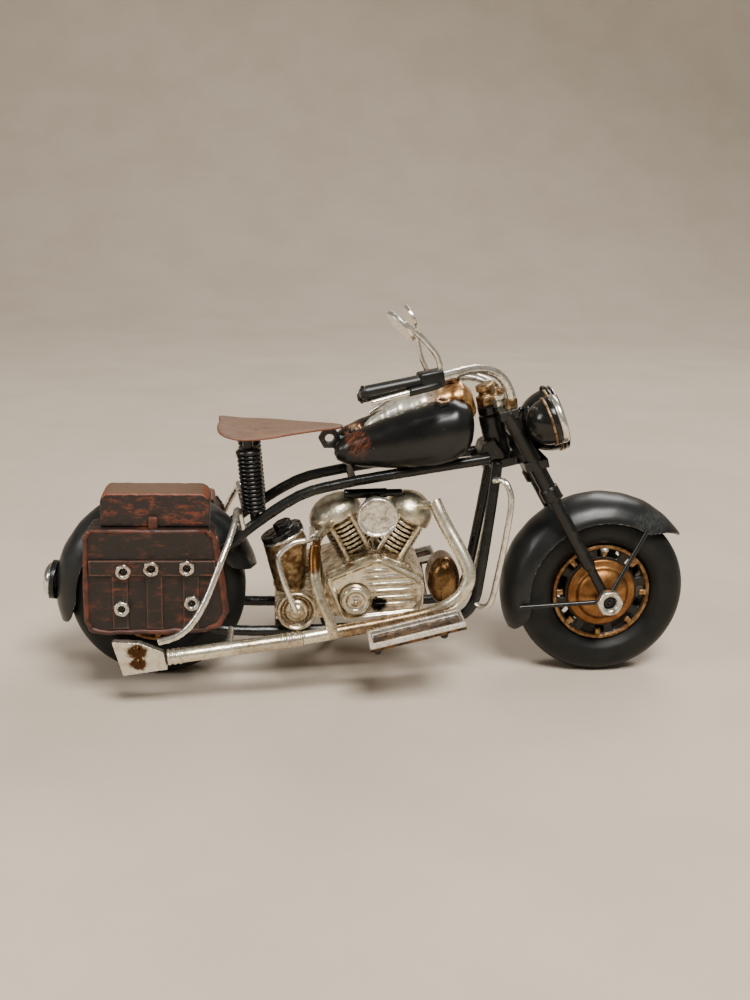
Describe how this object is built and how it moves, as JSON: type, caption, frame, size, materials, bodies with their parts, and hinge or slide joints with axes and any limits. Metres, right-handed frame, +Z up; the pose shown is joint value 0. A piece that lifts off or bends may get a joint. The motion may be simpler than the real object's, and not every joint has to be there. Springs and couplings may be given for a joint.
{
  "type": "toy motorcycle",
  "caption": "Free-rolling retro display motorcycle with V-twin engine, sprung seat, panniers, steering fork and folding side stand.",
  "frame": {"origin": "on the ground plane under the middle of the overall length and width", "axes": "+X forward, +Y to the rider's left, +Z up from the ground the wheels stand on"},
  "size_m": [0.1797, 0.066, 0.1042],
  "materials": {
    "black_paint": "satin black paint with small chips",
    "tyre_rubber": "smooth dark rubber",
    "antique_silver": "silver paint with a brown wash in the recesses",
    "silver_wire": "chipped silver paint on wire",
    "bronze": "metallic bronze paint",
    "bag_paint": "black base dry-brushed red-brown",
    "seat_paint": "matte tan-brown with a rust-red edge",
    "steel": "worn plated steel",
    "lens": "bright silvered dome"
  },
  "bodies": {
    "chassis": {"head_lug": "black_paint", "top_tubes": "black_paint", "cradle_tubes": "black_paint", "frame_plates": "black_paint", "cross_bars": "black_paint", "seat_springs": "black_paint", "seat_pan": "seat_paint", "seat_nut": "black_paint", "tank_shells": "black_paint", "tank_spine": "antique_silver", "tank_caps": "bronze", "crankcase": "antique_silver", "cylinders": "antique_silver", "rocker_boxes": "antique_silver", "pushrod_tubes": "antique_silver", "air_cleaner": "antique_silver", "ignition_coil": "black_paint", "gearcase_cover": "antique_silver", "generator": "bronze", "oil_tank": "bronze", "oil_cap": "black_paint", "kick_gear": "antique_silver", "oil_pipe": "antique_silver", "primary_cover": "antique_silver", "exhaust_headers": "antique_silver", "silencer": "antique_silver", "fishtail": "antique_silver", "footboards": "antique_silver", "front_guards": "silver_wire", "rear_guards": "silver_wire", "rear_fender": "black_paint", "tail_lamp": "black_paint", "tail_lens": "lens", "saddlebags": "bag_paint", "bag_lids": "bag_paint", "bag_straps": "bag_paint", "bag_buckles": "steel", "rear_axle": "steel"},
    "steering": {"steering_stem": "bronze", "fork_clamps": "black_paint", "fork_legs": "black_paint", "front_fender": "black_paint", "fender_stays": "black_paint", "front_axle": "steel", "axle_nuts": "steel", "headlight_bowl": "black_paint", "headlight_rim": "bronze", "headlight_lens": "lens", "side_lamps": "bronze", "handlebar": "silver_wire", "grips": "black_paint", "levers": "silver_wire", "mirrors": "silver_wire"},
    "front_wheel": {"front_tyre": "tyre_rubber", "front_rim": "bronze", "front_hub_caps": "bronze"},
    "rear_wheel": {"rear_tyre": "tyre_rubber", "rear_rim": "bronze", "rear_hub_caps": "bronze"},
    "stand": {"side_stand": "black_paint"}
  },
  "joints": [
    {"name": "steer", "type": "hinge", "parent": "chassis", "child": "steering", "pos_m": [0.0352, 0, 0.0623], "axis": [-0.2588, 0, 0.9659], "range_deg": [-15, 15]},
    {"name": "front_wheel_spin", "type": "hinge", "parent": "steering", "child": "front_wheel", "pos_m": [0.0658, 0, 0.024], "axis": [0, 1, 0], "continuous": true},
    {"name": "rear_wheel_spin", "type": "hinge", "parent": "chassis", "child": "rear_wheel", "pos_m": [-0.0584, 0, 0.024], "axis": [0, 1, 0], "continuous": true},
    {"name": "stand_fold", "type": "hinge", "parent": "chassis", "child": "stand", "pos_m": [-0.0123, 0.0155, 0.0122], "axis": [0, 1, 0], "range_deg": [0, 100]}
  ]
}
